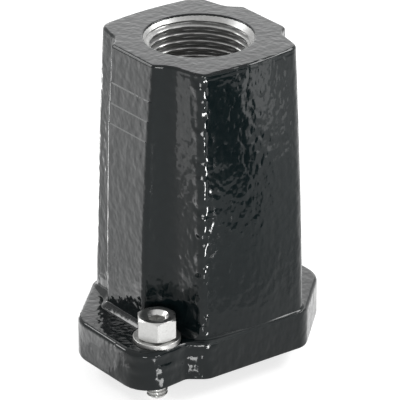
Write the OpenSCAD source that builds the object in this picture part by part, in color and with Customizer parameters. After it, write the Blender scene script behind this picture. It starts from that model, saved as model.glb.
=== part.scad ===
// Die-cast connector hood with a threaded cable entry on top, a bolt flange
// at the foot and two captive hex screws. Millimetres, +Z up, z = 0 is the
// mating face under the flange, and the cable entry lies on the Z axis.

/* [Body] */
// Height of the hood above the mating face
hood_height = 62; // [56:1:70]
// Half length of the body at its top corners, along X
body_half_x = 15.4; // [14.6:0.1:16]
// Half width of the body at its top corners, along Y
body_half_y = 11.5; // [11:0.1:12.2]
// How far the middle of each X face stands out beyond its corners
face_bow_x = 1.35; // [0.8:0.05:1.8]
// How far the Y faces rise from the corner to the pilaster
face_bow_y = 1.5; // [1:0.1:2]
// Radius of the bow of the X faces
bow_radius = 60; // [45:1:80]
// Radius of the upright corners beside the screws
corner_radius = 1.8; // [1.2:0.1:2.4]
// Radius of the two free upright corners
free_corner_radius = 3; // [2.2:0.1:3.6]
// How much the free corners grow from the top to the foot
draft = 1.4; // [0.9:0.05:1.5]
// Exponent of the draft: above 1 the sides bulge as they run down
draft_curve = 1.4; // [1:0.1:2]
// How far the corners beside the screws draw in toward the foot, along X
screw_corner_x = 0.5; // [0.3:0.1:0.8]
// How far those corners and their hollows draw in toward the foot, along Y
screw_corner_y = 0.8; // [0.4:0.1:1]
// Round along the top edge
top_edge_radius = 0.6; // [0.3:0.05:1]
// Fillet between the body and the flange
foot_fillet = 1.3; // [0.8:0.05:1.5]

/* [Pilaster] */
// Half width of the raised pilaster at the top
pilaster_half = 6.4; // [5.8:0.1:7]
// How far the pilaster stands out of the Y face
pilaster_rise = 3.1; // [2.4:0.1:3.6]
// Run of the pilaster's sloping side
pilaster_slope = 1.9; // [1.2:0.1:2.4]
// Edge radius of the pilaster
pilaster_edge = 1.3; // [0.8:0.05:1.6]
// Radius in the hollow beside the pilaster
hollow_radius = 5; // [3.5:0.1:5.4]
// How far the pilaster grows outward from the top to the foot
pilaster_draft = 0.6; // [0.3:0.05:0.9]
// Share of the corners' draft that the free hollow follows
hollow_follow = 0.9; // [0.6:0.05:1]
// How far the hollow beside the screw widens at the foot
hollow_relief = 1.9; // [1.6:0.1:2.2]
// How far the pilaster's side beside the screw steepens at the foot
side_steepen = 0.2; // [0:0.05:0.4]
// How much the radius of the hollow beside the screw grows at the foot
hollow_growth = 0.9; // [0.5:0.1:1.2]
// Depth of the uppermost grip step below the top
step_first = 7.4; // [5:0.1:9]
// Distance between the three grip steps
step_pitch = 4.05; // [3:0.05:5]
// How far each grip step stands out
step_rise = 0.2; // [0.1:0.02:0.3]

/* [Flange] */
// Thickness of the flange
flange_height = 8; // [7.5:0.1:9]
// Half length of the flange along X
flange_half_x = 17; // [16.7:0.1:17.8]
// Half width of the flange across its ears
flange_half_y = 24.5; // [24:0.1:25.5]
// Height along Y at which the sloping side starts
slope_start_y = 12.5; // [11.8:0.1:13]
// Distance along X at which the sloping side ends
slope_end_x = 6.4; // [5.8:0.1:7.2]
// How far the flange's corners stand out beyond the middle of its X sides
side_flare = 0.4; // [0.2:0.05:0.6]
// Radius where the sloping side starts
slope_start_radius = 4; // [3:0.1:5]
// Radius where the sloping side ends
slope_end_radius = 6.5; // [5:0.1:8]
// Radius round the screw seat
ear_radius = 5.6; // [5.2:0.1:6.2]
// How far the ear's side lies inside that radius
ear_set_in = 0.2; // [0:0.05:0.4]
// How far the waist behind the ear lies inside that radius
waist_set_in = 1.1; // [0.6:0.1:1.6]
// Distance of the waist from the screw along Y
waist_drop = 3.5; // [3:0.1:4]
// Radius in the waist
waist_radius = 1.5; // [1:0.1:2]
// How far the shoulder beyond the waist lies inside the flange's X side
shoulder_set_in = 0.3; // [0.1:0.05:0.5]
// Distance of the shoulder from the body's corner along Y
shoulder_drop = 1; // [0.6:0.1:1.4]
// Radius of the shoulder
shoulder_radius = 3.5; // [2.5:0.1:4.5]
// Round along the flange's upper edge
flange_edge = 0.9; // [0.6:0.05:1.2]
// Round along the flange's lower edge
flange_toe = 0.6; // [0.3:0.05:0.8]

/* [Cable entry] */
// Nominal diameter of the entry thread
entry_diameter = 20; // [19.5:0.1:20.4]
// Threaded length below the mouth
entry_length = 13; // [11:0.5:16]
// Width of the bare chamfer at the mouth
entry_chamfer = 0.7; // [0.4:0.05:1]

/* [Inside] */
// Half length of the contact chamber along X
chamber_half_x = 12.2; // [11.5:0.1:12.6]
// Half width of the contact chamber along Y
chamber_half_y = 9.6; // [9:0.1:9.8]
// Corner radius of the contact chamber
chamber_corner = 2.2; // [1.5:0.1:3]
// Height up to which the chamber's walls run straight
chamber_straight = 33; // [28:1:38]
// Depth of the insert's seat above the mating face
insert_depth = 13; // [10:0.5:16]
// Radius of the two insert bosses
boss_radius = 2.9; // [2.6:0.1:3.2]
// Tapping diameter of the insert screw holes
insert_hole = 2.5; // [2.3:0.1:2.8]
// Depth of the insert screw holes
insert_hole_depth = 8; // [6:0.5:10]

/* [Seal] */
// Land between the chamber and the seal groove
seal_land = 1.1; // [0.9:0.05:1.3]
// Width of the seal groove
groove_width = 1.8; // [1.5:0.1:2]
// Depth of the seal groove
groove_depth = 2.2; // [1.8:0.1:2.6]
// Gap between the seal and each wall of its groove
seal_gap = 0.05; // [0.02:0.01:0.1]
// How far the seal lies behind the mating face
seal_set_back = 0.4; // [0.2:0.05:0.6]

/* [Screws] */
// Screw position along X
screw_x = 9.6; // [9.4:0.1:10]
// Screw position along Y
screw_y = 17.3; // [17.1:0.1:17.8]
// Thread diameter of the screws
screw_diameter = 4; // [3.8:0.1:4.1]
// Diameter of the plain shank under the head
shank_diameter = 3.5; // [3.4:0.05:3.6]
// Width of the chamfer at the screw's tip
tip_chamfer = 0.6; // [0.4:0.05:0.8]
// Width across flats of the hex head
head_flats = 7; // [6.6:0.1:7.4]
// Height of the hex head
head_height = 4.2; // [3.8:0.1:4.8]
// Width across flats of the key socket
socket_flats = 3; // [2.6:0.1:3.4]
// Depth of the key socket
socket_depth = 2.2; // [1.8:0.1:2.6]
// How far the screw stands out below the mating face
screw_reach = 3.9; // [3.5:0.1:4.4]
// Outer diameter of the washers
washer_diameter = 9; // [8.6:0.1:9.4]
// Thickness of the washers
washer_height = 1.0; // [0.8:0.05:1.2]
// Depth of the faced seat under the washer
seat_depth = 0.15; // [0.1:0.05:0.25]
// Radial room round the washer in its seat
seat_room = 0.25; // [0.15:0.05:0.3]
// Radial room round the screw in the washer
washer_play = 0.15; // [0.1:0.05:0.2]
// Radial room round the screw in the flange
flange_play = 0.25; // [0.15:0.05:0.35]
// Gap between the screw head and its washer
head_gap = 0.02; // [0.01:0.01:0.05]
// Outer diameter of the retaining rings
ring_diameter = 7; // [6.6:0.1:7.2]
// Thickness of the retaining rings
ring_height = 1; // [0.8:0.05:1.2]
// Radial running clearance of the ring on the screw's neck
ring_play = 0.05; // [0.03:0.01:0.08]
// Depth of the screw's neck below its thread
neck_depth = 0.45; // [0.35:0.05:0.55]
// Width of the slit that lets the ring snap on
ring_slit = 0.8; // [0.6:0.1:1.2]
// Radial room round the ring in its counterbore
ring_room = 0.4; // [0.3:0.05:0.5]
// How far the screw can be lifted
screw_lift = 3.9; // [3.5:0.1:4.1]

/* [Hidden] */
$fn = 64;
overlap = 0.01;
step_run = 0.1;
arc_steps = 6;
side_spread = 0.55;
flush_gap = 0.06;
flush_over = 0.2;
core_step = 0.2;
head_turn = 25;
screw_r = screw_diameter / 2;
shank_r = shank_diameter / 2;
neck_r = screw_r - neck_depth;
ring_bottom = 0.4;
ring_top = ring_bottom + ring_height;
ring_end_gap = 0.05;
counterbore_top = ring_top + screw_lift + ring_end_gap;
seat_z = flange_height - seat_depth;
seat_top = seat_z + washer_height + head_gap;
face_y = body_half_y + face_bow_y;
entry_r = entry_diameter / 2;
entry_bottom = hood_height - entry_length;
body_span = hood_height - flange_height;

// Small helpers for outlines and lofts

function mix(a, b, t) = a + (b - a) * t;

// Both halves of an outline that repeats after half a turn
function half_turn(half) =
    concat(half, [for (v = half) [-v[0], -v[1], v[2]]]);

function unit(v) = v / norm(v);

function turn_sign(a, b) = sign(a[0] * b[1] - a[1] * b[0]);

// Points of the arc that rounds corner c of the path p, c, n with radius r
function corner_arc(p, c, n, r) =
    let (u = unit([p[0] - c[0], p[1] - c[1]]),
         w = unit([n[0] - c[0], n[1] - c[1]]),
         half = acos(max(-1, min(1, u * w))) / 2,
         centre = [c[0], c[1]] + unit(u + w) * (r / sin(half)),
         side = turn_sign(-u, w),
         start = [c[0], c[1]] + u * (r / tan(half)) - centre,
         from = atan2(start[1], start[0]),
         sweep = side * (180 - 2 * half))
    [for (i = [0 : arc_steps])
        centre + r * [cos(from + sweep * i / arc_steps), sin(from + sweep * i / arc_steps)]];

// As many points along the straight side that runs from p past c to n
function side_points(p, c, n) =
    let (run = [n[0] - p[0], n[1] - p[1]])
    [for (i = [0 : arc_steps]) [c[0], c[1]] + run * (i / arc_steps - 0.5) * side_spread];

// Closed outline from corners [x, y, radius]; radius 0 marks a point on a straight side
function rounded(corners) =
    let (n = len(corners))
    [for (i = [0 : n - 1])
        let (c = corners[i],
             before = corners[(i + n - 1) % n],
             after = corners[(i + 1) % n])
        each c[2] > 0 ? corner_arc(before, c, after, c[2]) : side_points(before, c, after)];

// Outward direction at each point of an outline
function normals(ring) =
    let (n = len(ring))
    [for (i = [0 : n - 1])
        let (d = unit(ring[(i + 1) % n] - ring[(i + n - 1) % n]))
        [d[1], -d[0]]];

// The outline moved outward by off
function grown(ring, off) =
    let (dirs = normals(ring))
    [for (i = [0 : len(ring) - 1]) ring[i] + off * dirs[i]];

function lifted(ring, z) = [for (p = ring) [p[0], p[1], z]];

// Solid through a stack of rings with equal point counts, closed from the axis at both ends
module loft(rings) {
    n = len(rings[0]);
    last = len(rings) - 1;
    low_mid = len(rings) * n;
    high_mid = low_mid + 1;
    sides = [for (k = [0 : last - 1]) for (i = [0 : n - 1])
        let (a = k * n + i, b = k * n + (i + 1) % n, c = b + n, d = a + n)
        each [[a, d, b], [b, d, c]]];
    ends = [for (i = [0 : n - 1])
        let (j = (i + 1) % n)
        each [[low_mid, i, j], [high_mid, last * n + j, last * n + i]]];
    polyhedron(
        points = concat([for (r = rings) each r],
                        [[0, 0, rings[0][0][2]], [0, 0, rings[last][0][2]]]),
        faces = concat(ends, sides),
        convexity = 6);
}

// Hood casting

// Outward growth of the sides: 0 at the top, 1 at the foot
function draft_at(z) = 1 - pow(max(0, min(1, (z - flange_height) / body_span)), draft_curve);

// Number of grip steps passed on the way down to height z
function steps_at(z) =
    len([for (k = [0 : 2]) if (z < hood_height - step_first - k * step_pitch) 1]);

// Body outline at height z: X face, free corner, hollow, pilaster, hollow beside the screw, corner
function body_corners(z) =
    let (g = draft_at(z),
         front = face_y + pilaster_rise + pilaster_draft * g - step_rise * (3 - steps_at(z)) * (1 - g),
         foot_mid = flange_half_x + flush_over,
         mid_x = mix(body_half_x + face_bow_x, foot_mid, g))
    [[mid_x, 0, bow_radius],
     [body_half_x + draft * g, body_half_y + draft * g, free_corner_radius],
     [pilaster_half + pilaster_slope + pilaster_draft * g, face_y + hollow_follow * draft * g,
      hollow_radius],
     [pilaster_half + pilaster_draft * g, front, pilaster_edge],
     [-pilaster_half + hollow_relief * g, front, pilaster_edge],
     [-pilaster_half - pilaster_slope + (hollow_relief + side_steepen) * g,
      face_y - screw_corner_y * g, hollow_radius + hollow_growth * g],
     [-body_half_x + screw_corner_x * g, body_half_y - screw_corner_y * g, corner_radius]];

// The body never passes the flange's side, so the middle of its X face runs into it flush
function body_outline(z) =
    [for (p = rounded(half_turn(body_corners(z))))
        [sign(p[0]) * min(abs(p[0]), flange_half_x - flush_gap), p[1]]];

function body_ring(z, off = 0) = lifted(grown(body_outline(z), off), z);

// Flange outline, corner for corner beside the body's: X side, free corner, slope, ear corner,
// screw ear, hollow, corner beside the screw
slope_start_x = flange_half_x + side_flare;
ear_side = screw_x + ear_radius;
flange_corners = [
    [flange_half_x, 0, 0],
    [slope_start_x, slope_start_y, slope_start_radius],
    [(slope_start_x + slope_end_x) / 2, (slope_start_y + flange_half_y) / 2, 0],
    [slope_end_x, flange_half_y, slope_end_radius],
    [-ear_side + ear_set_in, flange_half_y, ear_radius],
    [-ear_side + waist_set_in, screw_y - waist_drop, waist_radius],
    [-flange_half_x + shoulder_set_in, body_half_y - shoulder_drop, shoulder_radius],
];

flange_outline = rounded(half_turn(flange_corners));
foot_outline = body_outline(flange_height);

// Width of the ledge at each point: the fillet and the edge round share it
ledge = [for (i = [0 : len(foot_outline) - 1]) norm(flange_outline[i] - foot_outline[i])];

// One ring of the flange's round upper edge, at angle a
function edge_ring(a) =
    let (dirs = normals(flange_outline))
    [for (i = [0 : len(ledge) - 1])
        let (r = min(flange_edge, 0.4 * ledge[i]),
             p = flange_outline[i] - r * (1 - cos(a)) * dirs[i])
        [p[0], p[1], flange_height - r * (1 - sin(a))]];

// One ring of the fillet between flange and body, so far out and up in shares of its size
function fillet_ring(out, up) =
    let (dirs = normals(foot_outline))
    [for (i = [0 : len(ledge) - 1])
        let (r = min(foot_fillet, 0.4 * ledge[i]),
             p = foot_outline[i] + r * out * dirs[i])
        [p[0], p[1], flange_height + r * up]];

// The fillet is nearly flat, with a short round at each end
fillet_shares = [[0.96, 0.01], [0.75, 0.13], [0.13, 0.75]];

function toe_ring(a) =
    lifted(grown(flange_outline, -flange_toe * (1 - cos(a))), flange_toe * (1 - sin(a)));

function rim_ring(a) =
    body_ring(hood_height - top_edge_radius * (1 - sin(a)), -top_edge_radius * (1 - cos(a)));

// Heights of the grip steps and of the plain rings below them
step_heights = [for (k = [2 : -1 : 0]) hood_height - step_first - k * step_pitch];
plain_heights = [for (k = [1 : 4]) mix(flange_height + foot_fillet, step_heights[0] - step_run, k / 5)];

// Outer skin of the casting, from the mating face up to the top
module skin() {
    loft(concat(
        [toe_ring(88), toe_ring(45), toe_ring(0)],
        [for (a = [0, 30, 60, 88]) edge_ring(a)],
        [for (share = fillet_shares) fillet_ring(share[0], share[1])],
        [body_ring(flange_height + foot_fillet)],
        [for (z = plain_heights) body_ring(z)],
        [for (z = step_heights) each [body_ring(z - step_run), body_ring(z + step_run)]],
        [for (a = [0, 30, 60, 88]) rim_ring(a)]));
}

// Rectangle with true corner arcs
module rounded_box(half_x, half_y, r) {
    square([2 * (half_x - r), 2 * half_y], center = true);
    square([2 * half_x, 2 * (half_y - r)], center = true);
    for (sx = [-1, 1])
        for (sy = [-1, 1])
            translate([sx * (half_x - r), sy * (half_y - r)])
                circle(r);
}

module insert_places(z) {
    inset = boss_radius - 0.4;
    for (s = [-1, 1])
        translate([s * (chamber_half_x - inset), s * (chamber_half_y - inset), z])
            children();
}

module chamber() {
    difference() {
        union() {
            translate([0, 0, -1])
                linear_extrude(chamber_straight + 1)
                    rounded_box(chamber_half_x, chamber_half_y, chamber_corner);
            hull() {
                translate([0, 0, chamber_straight - 2])
                    linear_extrude(1)
                        rounded_box(chamber_half_x - core_step, chamber_half_y - core_step,
                                    chamber_corner, $fn = 32);
                translate([0, 0, entry_bottom])
                    cylinder(h = 0.5, r = entry_r - 0.8, $fn = 48);
            }
        }
        insert_places(insert_depth)
            cylinder(h = hood_height, r = boss_radius);
    }
}

module entry() {
    translate([0, 0, entry_bottom])
        cylinder(h = entry_length + 1, r = entry_r);
    translate([0, 0, hood_height - entry_chamfer])
        cylinder(h = entry_chamfer + 1, r1 = entry_r, r2 = entry_r + entry_chamfer + 1);
}

module seal_loop(inner, outer, z, h) {
    in_x = chamber_half_x + seal_land + inner;
    in_y = chamber_half_y + seal_land + inner;
    out_x = chamber_half_x + seal_land + outer;
    out_y = chamber_half_y + seal_land + outer;
    translate([0, 0, z])
        linear_extrude(h)
            difference() {
                rounded_box(out_x, out_y, chamber_corner + outer);
                rounded_box(in_x, in_y, chamber_corner + inner);
            }
}

// One place per screw: the front one and the one half a turn away
module at_screw(side) {
    rotate([0, 0, side])
        translate([screw_x, -screw_y, 0])
            children();
}

module screw_hole() {
    translate([0, 0, -1])
        cylinder(h = flange_height + 3, r = screw_r + flange_play);
    translate([0, 0, -1])
        cylinder(h = counterbore_top + 1, r = ring_diameter / 2 + ring_room);
    translate([0, 0, seat_z])
        cylinder(h = seat_depth + foot_fillet + 0.3, r = washer_diameter / 2 + seat_room);
}

module hood_shell() {
    color([0.11, 0.12, 0.12])
        difference() {
            skin();
            chamber();
            entry();
            insert_places(0)
                translate([0, 0, insert_depth - 1])
                    cylinder(h = insert_hole_depth + 1, r = insert_hole / 2);
            seal_loop(0, groove_width, -1, groove_depth + 1);
            at_screw(0) screw_hole();
            at_screw(180) screw_hole();
        }
}

// Seal, screws, washers and rings

module flange_seal() {
    color([0.05, 0.05, 0.05])
        seal_loop(seal_gap, groove_width - seal_gap, seal_set_back, groove_depth - seal_set_back);
}

// Hex prism with its flats across X or turned by spin
module hex(flats, h, spin = 0) {
    rotate([0, 0, spin])
        cylinder(h = h, r = flats / sqrt(3), $fn = 6);
}

module screw() {
    cap_r = head_flats / 2 - 0.1;
    rise = 0.58 * (head_flats / sqrt(3) - cap_r);
    difference() {
        union() {
            translate([0, 0, seat_top])
                intersection() {
                    hex(head_flats, head_height, head_turn);
                    union() {
                        cylinder(h = rise + overlap, r1 = cap_r, r2 = head_flats / sqrt(3) + 0.02);
                        translate([0, 0, rise])
                            cylinder(h = head_height - 2 * rise, r = head_flats);
                        translate([0, 0, head_height - rise - overlap])
                            cylinder(h = rise + overlap, r1 = head_flats / sqrt(3) + 0.02, r2 = cap_r);
                    }
                }
            translate([0, 0, ring_top + ring_end_gap])
                cylinder(h = seat_top - ring_top - ring_end_gap + overlap, r = shank_r);
            translate([0, 0, ring_bottom - ring_end_gap - overlap])
                cylinder(h = ring_height + 2 * ring_end_gap + 2 * overlap, r = neck_r);
            translate([0, 0, tip_chamfer - screw_reach])
                cylinder(h = screw_reach + ring_bottom - ring_end_gap - tip_chamfer, r = screw_r);
            translate([0, 0, -screw_reach])
                cylinder(h = tip_chamfer + overlap, r1 = screw_r - tip_chamfer, r2 = screw_r);
        }
        translate([0, 0, seat_top + head_height - socket_depth])
            hex(socket_flats, socket_depth + 1, head_turn);
    }
}

module washer() {
    translate([0, 0, seat_z])
        difference() {
            cylinder(h = washer_height, r = washer_diameter / 2);
            translate([0, 0, -1])
                cylinder(h = washer_height + 2, r = screw_r + washer_play);
        }
}

module ring() {
    translate([0, 0, ring_bottom])
        difference() {
            cylinder(h = ring_height, r = ring_diameter / 2);
            translate([0, 0, -1])
                cylinder(h = ring_height + 2, r = neck_r + ring_play);
            translate([0, -ring_slit / 2, -1])
                cube([ring_diameter, ring_slit, ring_height + 2]);
        }
}

module front_screw() {
    color([0.75, 0.75, 0.74])
        at_screw(0) screw();
}

module rear_screw() {
    color([0.75, 0.75, 0.74])
        at_screw(180) screw();
}

module front_washer() {
    color([0.8, 0.8, 0.79])
        at_screw(0) washer();
}

module rear_washer() {
    color([0.8, 0.8, 0.79])
        at_screw(180) washer();
}

module front_ring() {
    color([0.85, 0.84, 0.8])
        at_screw(0) ring();
}

module rear_ring() {
    color([0.85, 0.84, 0.8])
        at_screw(180) ring();
}

hood_shell();
flange_seal();
front_screw();
rear_screw();
front_washer();
rear_washer();
front_ring();
rear_ring();
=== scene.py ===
"""Looks of a black die-cast connector hood with two captive hex screws, built around its solids."""

import math

import bpy
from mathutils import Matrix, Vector


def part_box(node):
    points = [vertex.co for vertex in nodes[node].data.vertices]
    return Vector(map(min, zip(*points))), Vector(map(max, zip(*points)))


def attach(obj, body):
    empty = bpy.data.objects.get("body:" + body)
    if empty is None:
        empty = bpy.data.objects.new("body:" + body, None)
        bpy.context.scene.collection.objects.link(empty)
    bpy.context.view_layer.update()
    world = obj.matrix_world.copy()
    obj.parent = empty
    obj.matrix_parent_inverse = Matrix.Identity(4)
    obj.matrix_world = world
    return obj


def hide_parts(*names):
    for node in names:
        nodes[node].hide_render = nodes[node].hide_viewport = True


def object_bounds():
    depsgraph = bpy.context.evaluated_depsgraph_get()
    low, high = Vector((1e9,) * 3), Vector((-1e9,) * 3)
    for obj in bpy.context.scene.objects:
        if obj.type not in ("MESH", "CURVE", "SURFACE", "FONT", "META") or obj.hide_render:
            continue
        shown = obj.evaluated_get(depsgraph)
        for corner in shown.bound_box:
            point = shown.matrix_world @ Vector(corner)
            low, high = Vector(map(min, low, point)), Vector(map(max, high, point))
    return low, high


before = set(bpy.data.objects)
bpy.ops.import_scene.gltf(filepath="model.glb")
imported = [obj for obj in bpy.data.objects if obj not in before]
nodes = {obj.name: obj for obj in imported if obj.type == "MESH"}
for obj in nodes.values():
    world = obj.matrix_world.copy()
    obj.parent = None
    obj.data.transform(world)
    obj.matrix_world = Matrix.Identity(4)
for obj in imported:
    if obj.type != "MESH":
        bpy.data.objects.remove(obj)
cad_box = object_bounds()

MM = 0.001
MM2 = MM * MM

# Camera: it stands at the photograph's angle and sees about 75 mm across
VIEW_AZIMUTH = 52.4
VIEW_ELEVATION = 25.2
VIEW_DISTANCE = 662 * MM
LENS = 315.0
SENSOR = 36.0
CLIP_START = 10 * MM
AIM_HEIGHT = 30 * MM
SHIFT_X = 0.0029
SHIFT_Y = -0.0214

# Level faces of the hood
HOOD_TOP = 62 * MM
FLANGE_TOP = 8 * MM

# Turned skins: points round the axis, and rings for each pitch of a thread
TURN_POINTS = 96
PITCH_RINGS = 14

# Thread form, as shares of the pitch: the root's distance from the crest, and the flank's run
ROOT_START = 0.45
FLANK_RUN = 0.38

# Cable entry: thread and chamfer
ENTRY_PITCH = 1.5 * MM
ENTRY_DEPTH = 0.81 * MM
ENTRY_RADIUS = 10.0 * MM
ENTRY_LENGTH = 12.9 * MM
ENTRY_SKIN = 0.015 * MM  # gap to the solid's wall
ENTRY_START = 0.01 * MM  # depth of the first turn below the mouth
CHAMFER = 0.7 * MM
CHAMFER_PLAY = 0.05 * MM  # faces this close to the chamfer's cone are cut metal
TUCK_OUT = 0.04 * MM  # outermost ring, tucked in behind the lip
TUCK_DOWN = 0.1 * MM

# Lip of the coat round the entry
LIP_ROUND = 0.36 * MM
LIP_OUT = 0.02 * MM
LIP_DOWN = 0.002 * MM
LIP_STEPS = 8
LIP_POINTS = 4 * TURN_POINTS
LIP_RAGGED = 0.04 * MM
LIP_WAVES = ((23, 0), (57, 1), (88, 2))  # waves per turn, and their shift

# Screw: thread, tip, neck and shank
SCREW_PITCH = 0.7 * MM
SCREW_DEPTH = 0.4 * MM
SCREW_RADIUS = 2.0 * MM
SCREW_ROOT = SCREW_RADIUS - SCREW_DEPTH
TIP_CAP = 0.2 * MM
TIP_CHAMFER = 0.3 * MM
TIP_INSET = 0.25 * MM
SHANK_RADIUS = 1.75 * MM
NECK_RADIUS = 1.55 * MM
NECK_LOW = 0.35 * MM
NECK_HIGH = 1.45 * MM
NECK_EDGE = 0.02 * MM

# Screw head
HEAD_FLATS = 7.0 * MM
HEAD_HEIGHT = 4.2 * MM
HEAD_TURN = math.radians(25)
CROWN_RADIUS = HEAD_FLATS / 2 - 0.06 * MM
CROWN_SLOPE = 0.58
CROWN_LOW = 0.05 * MM
CROWN_HIGH = 0.03 * MM
SOCKET_FLATS = 3.0 * MM
SOCKET_START = 0.8 * MM
SOCKET_DEPTH = 2.2 * MM

# Round parts of the head, as rows of radius and height in millimetres
SEAT_ROWS = ((3.25, 0.0), (3.42, 0.02))
EDGE_ROWS = ((3.44, -0.012), (3.42, 0.0), (3.4, 0.0))
COUNTERSINK_ROWS = ((2.4, 0.0), (2.3, -0.04), (1.78, -0.62))
SOCKET_FLOOR_ROWS = ((1.2, -0.05), (0.1, -0.35))

# Soft shading and broken edges, with angles in degrees
SHARP_ANGLE = 32
THREAD_SHARP = 28
LIP_SHARP = 80
SOFT_LIMIT = 30
WELD = 0.002 * MM
BEVEL_SEGMENTS = 3
BEVEL_LIMIT = 40
FLAT_WEIGHT = 80
SEAL_BEVEL = 0.2 * MM
WASHER_BEVEL = 0.1 * MM
RING_BEVEL = 0.08 * MM

# Coat: tone and gloss
COAT_DARK = (0.001, 0.003, 0.0035)
COAT_LIGHT = (0.003, 0.0055, 0.006)
COAT_ROUGH = (0.08, 0.16)
COAT_IOR = 1.35
DULL_ROUGH = 0.6

# Coat: relief, drawn out along Z, and its strength on level faces and on narrow sloped ones
HANGING = (1, 1, 0.75)
SAG_SIZE = 4.0 * MM
SAG_DEPTH = 0.10 * MM
WAVE_SIZE = 1.4 * MM
WAVE_DEPTH = 0.12 * MM
RIPPLE_SIZE = 0.7 * MM
RIPPLE_DEPTH = 0.05 * MM
LEVEL_STRENGTH = 0.55
LEDGE_STRENGTH = 0.2

# Coat: how near to a level face still counts as that face
FACE_GAP = 0.01 * MM
FACE_CORE = 0.02 * MM
FACE_FADE = 0.1 * MM

# Coat: ledges, by the upward part of a face's normal
LEDGE_SLOPED = (0.25, 0.4)
LEDGE_LEVEL = (0.97, 0.9)

# Coat: beads on the body's sharp corners and the ears' walls, and lower ones on the rim
BEAD_SIZE = 2.0 * MM
BEAD_DEPTH = 0.7 * MM
BEAD_STRETCH = (0.5, 0.5, 1)
CORNER_LEAN = 0.28 * MM  # growth of the corner's x times y for each metre of height, in metres
CORNER_START = -136 * MM2  # x times y
CORNER_FULL = -147 * MM2
BODY_START = 8.6 * MM
BODY_FULL = 9.6 * MM
WALL_REACH = 7.4 * MM
RIM_REACH = 1.4 * MM
RIM_BEADS = 0.5
BOWED_START = 100 * MM2  # square of x, on the bowed faces
BOWED_FULL = 130 * MM2

# Coat: dull edge of the flange along the bowed faces
DULL_TOP = 8.2 * MM
DULL_REACH = 1.2 * MM
DULL_START = 125 * MM2  # square of y
DULL_FULL = 95 * MM2

# Steel: turning marks, handling marks and how much the gloss varies
TURNING_STRETCH = (1, 1, 12)
TURNING_SIZE = 1.2 * MM
TURNING_DEPTH = 0.003 * MM
HANDLING_SIZE = 0.5 * MM
STEEL_DETAIL = 3.0
STEEL_GRAIN = 0.6
STEEL_SPREAD = 0.08
# height below which the entry's thread has its full painted shade
BORE_SHADE_BOTTOM = 55 * MM

# Rubber and plastic
GRAIN_DEPTH = 0.02 * MM

# Stage
LAMP_GAIN = 4  # watts for each square metre of lamp at a brightness of 1
PANEL_LIFT = 1 * MM
FLOOR_CORNERS = ((-2, -2), (2, -2), (2, 2), (-2, 2))
FLOOR_TONE = 0.45
FLOOR_ROUGH = 0.9
FLOOR_GLOW = 0.74
WORLD_LIGHT = 0.5
WORLD_SEEN = 1.0

# Cards that show only in the object's gloss: a dark one that stands, and pale ones on the floor
CARD_GRAIN = 1.0 * MM
CARD_SPREAD = 0.2
CARD_LIFT = 2 * MM
DARK_CARD_AZIMUTH = 105
DARK_CARD_DISTANCE = 100 * MM
DARK_CARD_WIDTH = 44 * MM
DARK_CARD_HEIGHT = 32 * MM
DARK_CARD_TONE = 0.015
RIGHT_CARD = ((0.045, -0.01), (0.085, -0.01), (0.085, 0.09), (0.045, 0.09))
RIGHT_CARD_TONE = 0.8
LEFT_CARD = ((-0.036, -0.036), (-0.043, -0.008), (-0.174, -0.038), (-0.166, -0.067))
LEFT_CARD_TONE = 1.0


def new_object(name, verts, faces, material, sharp_angle=SHARP_ANGLE):
    """Mesh object with soft shading that keeps edges sharper than the angle, in degrees."""
    mesh = bpy.data.meshes.new(name)
    mesh.from_pydata(verts, [], faces)
    mesh.validate()
    mesh.polygons.foreach_set("use_smooth", [True] * len(mesh.polygons))
    mesh.set_sharp_from_angle(angle=math.radians(sharp_angle))
    mesh.materials.append(material)
    obj = bpy.data.objects.new(name, mesh)
    bpy.context.scene.collection.objects.link(obj)
    return obj


def turned(rings, axis=(0, 0), points=TURN_POINTS):
    """Skin through rings round an axis. A ring gives radius and height for a turn angle."""
    verts = []
    for ring in rings:
        for i in range(points):
            angle = HEAD_TURN + 2 * math.pi * i / points
            radius, height = ring(angle)
            x = axis[0] + radius * math.cos(angle)
            y = axis[1] + radius * math.sin(angle)
            verts.append((x, y, height))
    faces = []
    for k in range(len(rings) - 1):
        for i in range(points):
            j = (i + 1) % points
            low, high = k * points, (k + 1) * points
            faces.append((low + i, low + j, high + j, high + i))
    return verts, faces


def capped(verts, faces, rings_count):
    """The same skin with its first and last ring closed."""
    last = (rings_count - 1) * TURN_POINTS
    bottom = tuple(reversed(range(TURN_POINTS)))
    top = tuple(range(last, last + TURN_POINTS))
    return verts, faces + [bottom, top]


def plain(radius, height):
    """Ring of one radius at one height."""
    return lambda angle: (radius, height)


def profile(rows, level):
    """Plain rings from rows of radius and height, in millimetres, measured from a level."""
    return [plain(radius * MM, level + height * MM) for radius, height in rows]


def hex_ring(flats, height):
    """Six-sided ring with its corners on the head's turn angle."""
    def ring(angle):
        off = (angle - HEAD_TURN) % (math.pi / 3) - math.pi / 6
        return flats / 2 / math.cos(off), height
    return ring


def crowned_hex(height, slope):
    """Six-sided ring of the head whose corners fall away from a round crown."""
    def ring(angle):
        radius, _ = hex_ring(HEAD_FLATS, height)(angle)
        return radius, height - max(0.0, radius - CROWN_RADIUS) * slope
    return ring


def thread_lift(angle, height, pitch):
    """Share of the thread's depth at a place: 1 on the crest, 0 in the root."""
    place = (height / pitch - angle / (2 * math.pi)) % 1.0
    from_crest = abs(place - 0.5)
    flank = max(0.0, min(1.0, (ROOT_START - from_crest) / FLANK_RUN))
    return flank * flank * (3 - 2 * flank)


# Shader nodes


def new_material(name):
    material = bpy.data.materials.new(name)
    material.use_nodes = True
    tree = material.node_tree
    return material, tree, tree.nodes["Principled BSDF"]


def object_place(tree):
    return tree.nodes.new("ShaderNodeTexCoord").outputs["Object"]


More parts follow.
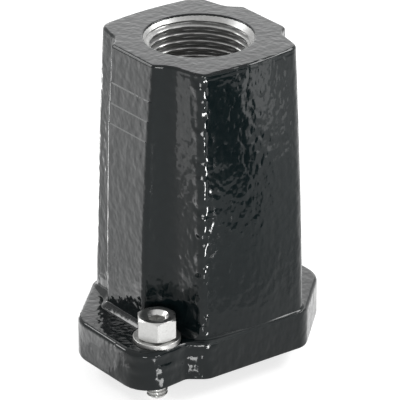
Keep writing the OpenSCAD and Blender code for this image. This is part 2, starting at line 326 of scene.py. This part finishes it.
def noise(tree, place, size, detail=2.0, roughness=0.5):
    """Noise whose grains are about as wide as size, in metres."""
    node = tree.nodes.new("ShaderNodeTexNoise")
    node.inputs["Scale"].default_value = 1 / size
    node.inputs["Detail"].default_value = detail
    node.inputs["Roughness"].default_value = roughness
    tree.links.new(place, node.inputs["Vector"])
    return node.outputs["Fac"]


def bump(tree, height, depth, below=None, strength=None):
    """Bump of the given depth in metres, on top of another bump."""
    node = tree.nodes.new("ShaderNodeBump")
    node.inputs["Distance"].default_value = depth
    tree.links.new(height, node.inputs["Height"])
    if strength is not None:
        tree.links.new(strength, node.inputs["Strength"])
    if below is not None:
        tree.links.new(below, node.inputs["Normal"])
    return node.outputs["Normal"]


def spread(tree, value, low, high):
    """The value, mapped from 0..1 to low..high."""
    node = tree.nodes.new("ShaderNodeMapRange")
    node.inputs["To Min"].default_value = low
    node.inputs["To Max"].default_value = high
    tree.links.new(value, node.inputs["Value"])
    return node.outputs["Result"]


def tinted(tree, value, dark, light):
    """Colour between two colours, by value."""
    node = tree.nodes.new("ShaderNodeValToRGB")
    node.color_ramp.elements[0].color = (*dark, 1)
    node.color_ramp.elements[1].color = (*light, 1)
    tree.links.new(value, node.inputs["Fac"])
    return node.outputs["Color"]


def stretched(tree, place, scale):
    """The place with its axes scaled, so that noise comes out longer or shorter along them."""
    node = tree.nodes.new("ShaderNodeVectorMath")
    node.operation = "MULTIPLY"
    node.inputs[1].default_value = scale
    tree.links.new(place, node.inputs[0])
    return node.outputs["Vector"]


def split(tree, place):
    """The three coordinates of a place."""
    node = tree.nodes.new("ShaderNodeSeparateXYZ")
    tree.links.new(place, node.inputs["Vector"])
    return node.outputs["X"], node.outputs["Y"], node.outputs["Z"]


def joined(tree, operation, one, other):
    """Two values joined by an operation such as MULTIPLY or MAXIMUM."""
    node = tree.nodes.new("ShaderNodeMath")
    node.operation = operation
    tree.links.new(one, node.inputs[0])
    tree.links.new(other, node.inputs[1])
    return node.outputs["Value"]


def ramp(tree, value, start, end):
    """0 where the value is at start, 1 where it is at end."""
    node = tree.nodes.new("ShaderNodeMapRange")
    node.interpolation_type = "SMOOTHSTEP"
    node.inputs["From Min"].default_value = start
    node.inputs["From Max"].default_value = end
    tree.links.new(value, node.inputs["Value"])
    return node.outputs["Result"]


# Places on the coat


def rim_share(tree, z, top, reach):
    """1 on a wall just below a level face at the height top, fading out down the reach."""
    above_start = ramp(tree, z, top - reach, top - 0.5 * reach)
    below_face = ramp(tree, z, top - FACE_GAP, top - FACE_FADE)
    return joined(tree, "MULTIPLY", above_start, below_face)


def edge_share(tree, place):
    """1 on sharp corners and the ears' walls, less on the rim, where the coat drew into beads."""
    x, y, z = split(tree, place)
    leaning = spread(tree, z, 0.0, CORNER_LEAN)
    apart = joined(tree, "ADD", joined(tree, "MULTIPLY", x, y), leaning)
    near = ramp(tree, apart, CORNER_START, CORNER_FULL)
    body = ramp(tree, z, BODY_START, BODY_FULL)
    wall = rim_share(tree, z, FLANGE_TOP, WALL_REACH)
    corner = joined(tree, "MULTIPLY", near, joined(tree, "MAXIMUM", body, wall))
    bowed = ramp(tree, joined(tree, "MULTIPLY", x, x), BOWED_START, BOWED_FULL)
    rim = joined(tree, "MULTIPLY", bowed, rim_share(tree, z, HOOD_TOP, RIM_REACH))
    return joined(tree, "MAXIMUM", corner, spread(tree, rim, 0.0, RIM_BEADS))


def dull_share(tree, place):
    """1 on the flange's edge along the bowed faces, where the coat lies thin and dull."""
    _, y, z = split(tree, place)
    inner = ramp(tree, joined(tree, "MULTIPLY", y, y), DULL_START, DULL_FULL)
    return joined(tree, "MULTIPLY", inner, rim_share(tree, z, DULL_TOP, DULL_REACH))


def at_level(tree, z, level):
    """1 within a hair of a level."""
    from_below = ramp(tree, z, level - FACE_FADE, level - FACE_CORE)
    from_above = ramp(tree, z, level + FACE_FADE, level + FACE_CORE)
    return joined(tree, "MULTIPLY", from_below, from_above)


def level_share(tree, place):
    """1 on the top face and on the flange's upper face, where the coat settled flatter."""
    _, _, z = split(tree, place)
    return joined(tree, "MAXIMUM", at_level(tree, z, HOOD_TOP), at_level(tree, z, FLANGE_TOP))


def ledge_share(tree):
    """1 on narrow faces that slope upwards, such as the grip steps and the foot fillet."""
    normal = tree.nodes.new("ShaderNodeTexCoord").outputs["Normal"]
    _, _, up = split(tree, normal)
    sloped = ramp(tree, up, *LEDGE_SLOPED)
    not_level = ramp(tree, up, *LEDGE_LEVEL)
    return joined(tree, "MULTIPLY", sloped, not_level)


# Materials


def coat_normal(tree, place, sags, waves, ripples):
    """Relief of the coat: sags, waves and ripples, and beads on its edges."""
    still = spread(tree, ledge_share(tree), 1.0, LEDGE_STRENGTH)
    calm = spread(tree, level_share(tree, place), 1.0, LEVEL_STRENGTH)
    calm = joined(tree, "MULTIPLY", calm, still)
    normal = bump(tree, sags, SAG_DEPTH, None, calm)
    normal = bump(tree, waves, WAVE_DEPTH, normal, calm)
    normal = bump(tree, ripples, RIPPLE_DEPTH, normal, still)
    beads = noise(tree, stretched(tree, place, BEAD_STRETCH), BEAD_SIZE, 0.0)
    beads = spread(tree, beads, -0.5, 0.5)
    beads = joined(tree, "MULTIPLY", beads, edge_share(tree, place))
    return bump(tree, beads, BEAD_DEPTH, normal)


def hammertone():
    """Thick glossy black coat that sagged a little and dried in small waves."""
    material, tree, shader = new_material("black_hammertone")
    place = object_place(tree)
    hanging = stretched(tree, place, HANGING)
    sags = noise(tree, hanging, SAG_SIZE, 0.0)
    waves = noise(tree, hanging, WAVE_SIZE, 0.0)
    ripples = noise(tree, hanging, RIPPLE_SIZE, 0.0)
    normal = coat_normal(tree, place, sags, waves, ripples)
    tree.links.new(normal, shader.inputs["Normal"])
    tone = tinted(tree, waves, COAT_DARK, COAT_LIGHT)
    tree.links.new(tone, shader.inputs["Base Color"])
    dull = spread(tree, dull_share(tree, place), 0.0, DULL_ROUGH)
    rough = joined(tree, "MAXIMUM", spread(tree, ripples, *COAT_ROUGH), dull)
    tree.links.new(rough, shader.inputs["Roughness"])
    shader.inputs["IOR"].default_value = COAT_IOR
    return material


def steel(name, dark, light, rough, shade=None):
    """Metal with fine turning marks and light handling marks, darkened with painted shade where the
    shade is low.
    """
    material, tree, shader = new_material(name)
    place = object_place(tree)
    along = stretched(tree, place, TURNING_STRETCH)
    lines = noise(tree, along, TURNING_SIZE, STEEL_DETAIL, STEEL_GRAIN)
    marks = noise(tree, place, HANDLING_SIZE, STEEL_DETAIL, STEEL_GRAIN)
    if shade is not None:
        marks = joined(tree, "MULTIPLY", marks, shade(tree, place))
    gloss = spread(tree, lines, rough - STEEL_SPREAD, rough + STEEL_SPREAD)
    shader.inputs["Metallic"].default_value = 1.0
    tree.links.new(tinted(tree, marks, dark, light), shader.inputs["Base Color"])
    tree.links.new(gloss, shader.inputs["Roughness"])
    tree.links.new(bump(tree, lines, TURNING_DEPTH), shader.inputs["Normal"])
    return material


def painted_bore_shade(tree, place):
    """1 at the mouth of the entry, falling to 0 deep in its bore: painted shade of the bore's
    recess.
    """
    _, _, z = split(tree, place)
    return ramp(tree, z, BORE_SHADE_BOTTOM, HOOD_TOP)


def grained(name, size, detail, dark, light, rough):
    """Rubber or plastic with a fine grain in its tone, gloss and surface."""
    material, tree, shader = new_material(name)
    grain = noise(tree, object_place(tree), size, detail)
    tree.links.new(tinted(tree, grain, dark, light), shader.inputs["Base Color"])
    tree.links.new(spread(tree, grain, *rough), shader.inputs["Roughness"])
    tree.links.new(bump(tree, grain, GRAIN_DEPTH), shader.inputs["Normal"])
    return material


COAT = hammertone()
SCREW_STEEL = steel("screw_steel", (0.46, 0.46, 0.45), (0.6, 0.6, 0.59), 0.3)
WASHER_STEEL = steel("washer_steel", (0.38, 0.38, 0.37), (0.52, 0.52, 0.51), 0.34)
CUT_METAL = steel("cut_metal", (0.24, 0.24, 0.24), (0.44, 0.44, 0.43), 0.4)
# Thread metal whose tone is painted shade of the bore: dark overall, and darker still towards the
# bottom
THREAD_METAL = steel(
    "thread_metal", (0.004, 0.005, 0.005), (0.034, 0.038, 0.038), 0.56, painted_bore_shade)
RUBBER = grained(
    "black_rubber", 0.25 * MM, 2.0, (0.012, 0.012, 0.012), (0.026, 0.026, 0.026), (0.55, 0.8))
POLYAMIDE = grained(
    "natural_polyamide", 1.0 * MM, 3.0, (0.66, 0.62, 0.53), (0.8, 0.77, 0.7), (0.35, 0.5))


# CAD nodes that keep their shape


def soft_edges(limit_deg):
    """Node group that welds a solid's faces and shades it softly below the limit angle."""
    group = bpy.data.node_groups.new("soft_edges", "GeometryNodeTree")
    for direction in ("INPUT", "OUTPUT"):
        group.interface.new_socket("Geometry", in_out=direction, socket_type="NodeSocketGeometry")
    start = group.nodes.new("NodeGroupInput")
    plain_normals = group.nodes.new("GeometryNodeRemoveAttribute")
    plain_normals.inputs["Name"].default_value = "custom_normal"
    weld = group.nodes.new("GeometryNodeMergeByDistance")
    weld.inputs["Distance"].default_value = WELD
    faces = group.nodes.new("GeometryNodeSetShadeSmooth")
    angle = group.nodes.new("GeometryNodeInputMeshEdgeAngle")
    below = group.nodes.new("FunctionNodeCompare")
    below.operation = "LESS_THAN"
    below.inputs["B"].default_value = math.radians(limit_deg)
    edges = group.nodes.new("GeometryNodeSetShadeSmooth")
    edges.domain = "EDGE"
    end = group.nodes.new("NodeGroupOutput")
    chain = [start, plain_normals, weld, faces, edges, end]
    for one, following in zip(chain, chain[1:]):
        group.links.new(one.outputs["Geometry"], following.inputs["Geometry"])
    group.links.new(angle.outputs["Unsigned Angle"], below.inputs["A"])
    group.links.new(below.outputs["Result"], edges.inputs["Shade Smooth"])
    return group


SOFT_EDGES = soft_edges(SOFT_LIMIT)


def dress(node, material, bevel=0.0):
    """Gives a CAD node its material, soft shading and, where asked, broken edges."""
    obj = nodes[node]
    obj.data.materials.clear()
    obj.data.materials.append(material)
    obj.modifiers.new("soft_edges", "NODES").node_group = SOFT_EDGES
    if bevel:
        edge = obj.modifiers.new("broken_edges", "BEVEL")
        edge.width = bevel
        edge.segments = BEVEL_SEGMENTS
        edge.limit_method = "ANGLE"
        edge.angle_limit = math.radians(BEVEL_LIMIT)
    even = obj.modifiers.new("even_normals", "WEIGHTED_NORMAL")
    even.keep_sharp = True
    even.weight = FLAT_WEIGHT


# Pieces with more detail than their solids


def node_top(node):
    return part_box(node)[1].z


def chamfer_radius(depth):
    """Radius of the entry's chamfer cone at a depth below the mouth."""
    return ENTRY_RADIUS + CHAMFER - ENTRY_SKIN - depth


def entry_turn(depth, top):
    """Ring of the inner thread, cut back by the chamfer at the mouth."""
    def ring(angle):
        lift = ENTRY_DEPTH * thread_lift(angle, top - depth, ENTRY_PITCH)
        return max(ENTRY_RADIUS - ENTRY_SKIN - lift, chamfer_radius(depth)), top - depth
    return ring


def entry_thread():
    """Bare metal of the cable entry: a bright cut chamfer that runs out over duller turns, darkened
    with painted shade of the bore.
    """
    top = node_top("hood_shell")
    rings = [plain(ENTRY_RADIUS + CHAMFER + TUCK_OUT, top - TUCK_DOWN)]
    steps = round(ENTRY_LENGTH / (ENTRY_PITCH / PITCH_RINGS))
    for k in range(steps + 1):
        rings.append(entry_turn(ENTRY_START + (ENTRY_LENGTH - ENTRY_START) * k / steps, top))
    verts, faces = turned(rings)
    obj = new_object("entry_thread", verts, faces, CUT_METAL, THREAD_SHARP)
    obj.data.materials.append(THREAD_METAL)
    for face in obj.data.polygons:
        middle = face.center
        inside = chamfer_radius(top - middle.z) - CHAMFER_PLAY
        face.material_index = 0 if math.hypot(middle.x, middle.y) > inside else 1
    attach(obj, "hood")


def lip_ring(share, top):
    """Ring of the lip's quarter round, from the flat face at share 0 to the cut at share 1."""
    turn = share * math.pi / 2
    outer = ENTRY_RADIUS + CHAMFER + LIP_OUT

    def ring(angle):
        ragged = sum(math.sin(count * angle + shift) for count, shift in LIP_WAVES)
        size = LIP_ROUND + LIP_RAGGED * ragged / len(LIP_WAVES)
        return outer - size * math.sin(turn), top - LIP_DOWN - size * (1 - math.cos(turn))
    return ring


def entry_lip():
    """Rounded lip of the coat round the mouth, with the ragged edge that the cutter left."""
    top = node_top("hood_shell")
    rings = [lip_ring(k / LIP_STEPS, top) for k in range(LIP_STEPS + 1)]
    verts, faces = turned(rings, points=LIP_POINTS)
    obj = new_object("entry_lip", verts, faces, COAT, LIP_SHARP)
    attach(obj, "hood")


def screw_turn(height):
    """Ring of the screw's outer thread."""
    def ring(angle):
        return SCREW_ROOT + SCREW_DEPTH * thread_lift(angle, height, SCREW_PITCH), height
    return ring


def thread_rings(tip):
    """Rings of the screw's chamfered tip and its thread turns up to the neck."""
    start = tip + TIP_CHAMFER
    span = NECK_LOW - start
    steps = round(span / (SCREW_PITCH / PITCH_RINGS))
    rings = [plain(TIP_CAP, tip), plain(SCREW_ROOT - TIP_INSET, tip), plain(SCREW_ROOT, start)]
    return rings + [screw_turn(start + span * k / steps) for k in range(1, steps)]


def shank_rings(seat):
    """Rings of the neck, which the retaining ring sits on, and of the plain shank."""
    return [
        plain(SCREW_ROOT, NECK_LOW - NECK_EDGE),
        plain(NECK_RADIUS, NECK_LOW),
        plain(NECK_RADIUS, NECK_HIGH),
        plain(SHANK_RADIUS, NECK_HIGH),
        plain(SHANK_RADIUS, seat),
    ]


def head_rings(seat, top):
    """Rings of the crowned head and its countersunk key socket."""
    sides = [
        crowned_hex(seat + CROWN_LOW, -CROWN_SLOPE),
        crowned_hex(top - CROWN_HIGH, CROWN_SLOPE),
    ]
    socket = [
        hex_ring(SOCKET_FLATS, top - SOCKET_START),
        hex_ring(SOCKET_FLATS, top - SOCKET_DEPTH),
    ]
    mouth = profile(EDGE_ROWS + COUNTERSINK_ROWS, top)
    floor = profile(SOCKET_FLOOR_ROWS, top - SOCKET_DEPTH)
    return profile(SEAT_ROWS, seat) + sides + mouth + socket + floor


def detailed_screw(name, node, body):
    """Hex screw with crowned head, countersunk key socket, neck and thread turns."""
    low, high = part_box(node)
    axis = ((low.x + high.x) / 2, (low.y + high.y) / 2)
    tip, top = low.z, high.z
    seat = top - HEAD_HEIGHT
    rings = thread_rings(tip) + shank_rings(seat) + head_rings(seat, top)
    verts, faces = capped(*turned(rings, axis), len(rings))
    obj = new_object(name, verts, faces, SCREW_STEEL)
    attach(obj, body)
    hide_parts(node)


# Stage


def around(azimuth, elevation, distance, height=AIM_HEIGHT):
    """Point seen from the object at an azimuth (0 is -Y, 90 is +X) and elevation, in degrees."""
    a, e = math.radians(azimuth), math.radians(elevation)
    return (
        distance * math.sin(a) * math.cos(e),
        -distance * math.cos(a) * math.cos(e),
        height + distance * math.sin(e),
    )


# Lamps round the object: name, place, aim, width, height and brightness, in metres
SOFTBOXES = (
    # behind, in the top face
    ("back_left", around(232.5, 24, 0.5), (0, 0, 0.06), 0.5, 0.35, 0.95),
    # along the bowed face's far edge
    ("right_back", around(124, 0, 0.11, 0.045), (0.017, 0.004, 0.045), 0.024, 0.07, 1.4),
    # on the rim of the bowed face
    ("right_high", around(152, 40, 0.5), (0, 0, 0.05), 0.28, 0.13, 11.0),
    # in the beads of the front corner
    ("front", around(50, 0, 0.4), (0, 0, 0.03), 0.12, 0.08, 17.0),
    # on the foot fillet
    ("left_high", around(-58, 38, 0.45), (0, -0.016, 0.03), 0.16, 0.125, 6.0),
    # on the grip steps
    ("left_steps", (-0.0724, -0.0694, 0.084), (0, -0.016, 0.0485), 0.03, 0.03, 4.5),
)

# Lamps on the floor: name, middle, width, length, azimuth and brightness, in metres
GLOW_PANELS = (
    ("right_low", (0.104, -0.0106), 0.022, 0.045, 90, 60.0),
    ("left", (-0.122, -0.0975), 0.09, 0.24, -40.4, 0.95),
    ("left_far", (-0.151, -0.132), 0.09, 0.15, -40.4, 1.25),
    ("left_front", (-0.055, -0.128), 0.035, 0.09, -30, 1.0),
    ("left_edge", (-0.106, -0.002), 0.016, 0.1, -98, 3.5),
    ("ear", (0.0265, -0.0213), 0.0016, 0.005, 89, 14.0),
    ("neck", (0.0235, -0.0188), 0.0018, 0.0045, 51, 12.0),
    ("left_near", (-0.015, -0.037), 0.026, 0.018, 0, 0.8),
)


def softbox(name, place, aim, width, height, brightness):
    """Soft rectangular lamp of an even brightness, aimed at a point."""
    lamp = bpy.data.lights.new(name, "AREA")
    lamp.shape = "RECTANGLE"
    lamp.size = width
    lamp.size_y = height
    lamp.energy = LAMP_GAIN * width * height * brightness
    obj = bpy.data.objects.new(name, lamp)
    obj.location = place
    obj.rotation_euler = (Vector(aim) - Vector(place)).to_track_quat("-Z", "Y").to_euler()
    obj.visible_camera = False
    bpy.context.scene.collection.objects.link(obj)
    return obj


def glow_panel(name, middle, width, length, azimuth, brightness, floor):
    """Lamp that lies on the floor, shines up and runs lengthwise along an azimuth."""
    place = Vector((*middle, floor + PANEL_LIFT))
    lamp = softbox(name, place, place + Vector((0, 0, 1)), width, length, brightness)
    lamp.rotation_euler = (math.pi, 0, math.radians(azimuth))


def make_lights(floor):
    """Soft lamps round the object, and flat ones on the floor that its walls mirror."""
    for row in SOFTBOXES:
        softbox(*row)
    for row in GLOW_PANELS:
        glow_panel(*row, floor)


def seen_rays(tree):
    """1 for rays that show the backdrop: from the camera, in gloss and through glass."""
    path = tree.nodes.new("ShaderNodeLightPath")
    total = path.outputs["Is Camera Ray"]
    for name in ("Is Glossy Ray", "Is Transmission Ray"):
        total = joined(tree, "MAXIMUM", total, path.outputs[name])
    return total


def make_world():
    world = bpy.data.worlds.new("studio")
    bpy.context.scene.world = world
    world.use_nodes = True
    tree = world.node_tree
    back = tree.nodes["Background"]
    back.inputs["Color"].default_value = (1, 1, 1, 1)
    strength = spread(tree, seen_rays(tree), WORLD_LIGHT, WORLD_SEEN)
    tree.links.new(strength, back.inputs["Strength"])


def laid(corners, height):
    """Corners of a sheet that lies level at a height."""
    return [(x, y, height) for x, y in corners]


def make_floor(height):
    """Pale floor that shows white and keeps the object's shadow."""
    material, tree, shader = new_material("pale_floor")
    shader.inputs["Base Color"].default_value = (FLOOR_TONE, FLOOR_TONE, FLOOR_TONE, 1)
    shader.inputs["Roughness"].default_value = FLOOR_ROUGH
    shader.inputs["Specular IOR Level"].default_value = 0.0
    shader.inputs["Emission Color"].default_value = (1, 1, 1, 1)
    glow = spread(tree, seen_rays(tree), 0.0, FLOOR_GLOW)
    tree.links.new(glow, shader.inputs["Emission Strength"])
    floor = new_object("floor", laid(FLOOR_CORNERS, height), [(0, 1, 2, 3)], material)


def make_camera():
    camera = bpy.data.cameras.new("camera")
    camera.lens = LENS
    camera.sensor_width = SENSOR
    camera.sensor_fit = "AUTO"
    camera.clip_start = CLIP_START
    camera.shift_x = SHIFT_X
    camera.shift_y = SHIFT_Y
    obj = bpy.data.objects.new("camera", camera)
    aim = Vector((0, 0, AIM_HEIGHT))
    obj.location = aim + Vector(around(VIEW_AZIMUTH, VIEW_ELEVATION, VIEW_DISTANCE, 0))
    obj.rotation_euler = (aim - obj.location).to_track_quat("-Z", "Y").to_euler()
    bpy.context.scene.collection.objects.link(obj)
    bpy.context.scene.camera = obj


def make_card(name, corners, tone):
    """Card that shows only in the object's gloss."""
    material, tree, shader = new_material(name)
    weave = noise(tree, object_place(tree), CARD_GRAIN)
    dark = [(1 - CARD_SPREAD) * tone] * 3
    light = [(1 + CARD_SPREAD) * tone] * 3
    tree.links.new(tinted(tree, weave, dark, light), shader.inputs["Base Color"])
    card = new_object(name, corners, [(0, 1, 2, 3)], material)
    card.visible_camera = False
    card.visible_diffuse = False
    card.visible_shadow = False


def make_cards(floor):
    """Cards that the body mirrors: a dark zone on the bowed face, and an even floor beside it."""
    middle = Vector(around(DARK_CARD_AZIMUTH, 0, DARK_CARD_DISTANCE, floor))
    across = Vector((-middle.y, middle.x, 0)).normalized() * DARK_CARD_WIDTH / 2
    up = Vector((0, 0, DARK_CARD_HEIGHT))
    one, other = middle - across, middle + across
    make_card("dark_card", [one, other, other + up, one + up], DARK_CARD_TONE)
    low = floor + CARD_LIFT
    make_card("right_card", laid(RIGHT_CARD, low), RIGHT_CARD_TONE)
    make_card("left_card", laid(LEFT_CARD, low), LEFT_CARD_TONE)


dress("hood_shell", COAT)
dress("flange_seal", RUBBER, SEAL_BEVEL)
for end in ("front", "rear"):
    dress(end + "_washer", WASHER_STEEL, WASHER_BEVEL)
    dress(end + "_ring", POLYAMIDE, RING_BEVEL)
    detailed_screw(end + "_hex_screw", end + "_screw", end + "_bolt")
entry_thread()
entry_lip()

make_world()
make_floor(cad_box[0].z)
make_camera()
make_lights(cad_box[0].z)
make_cards(cad_box[0].z)
bpy.context.scene.view_settings.view_transform = "Standard"
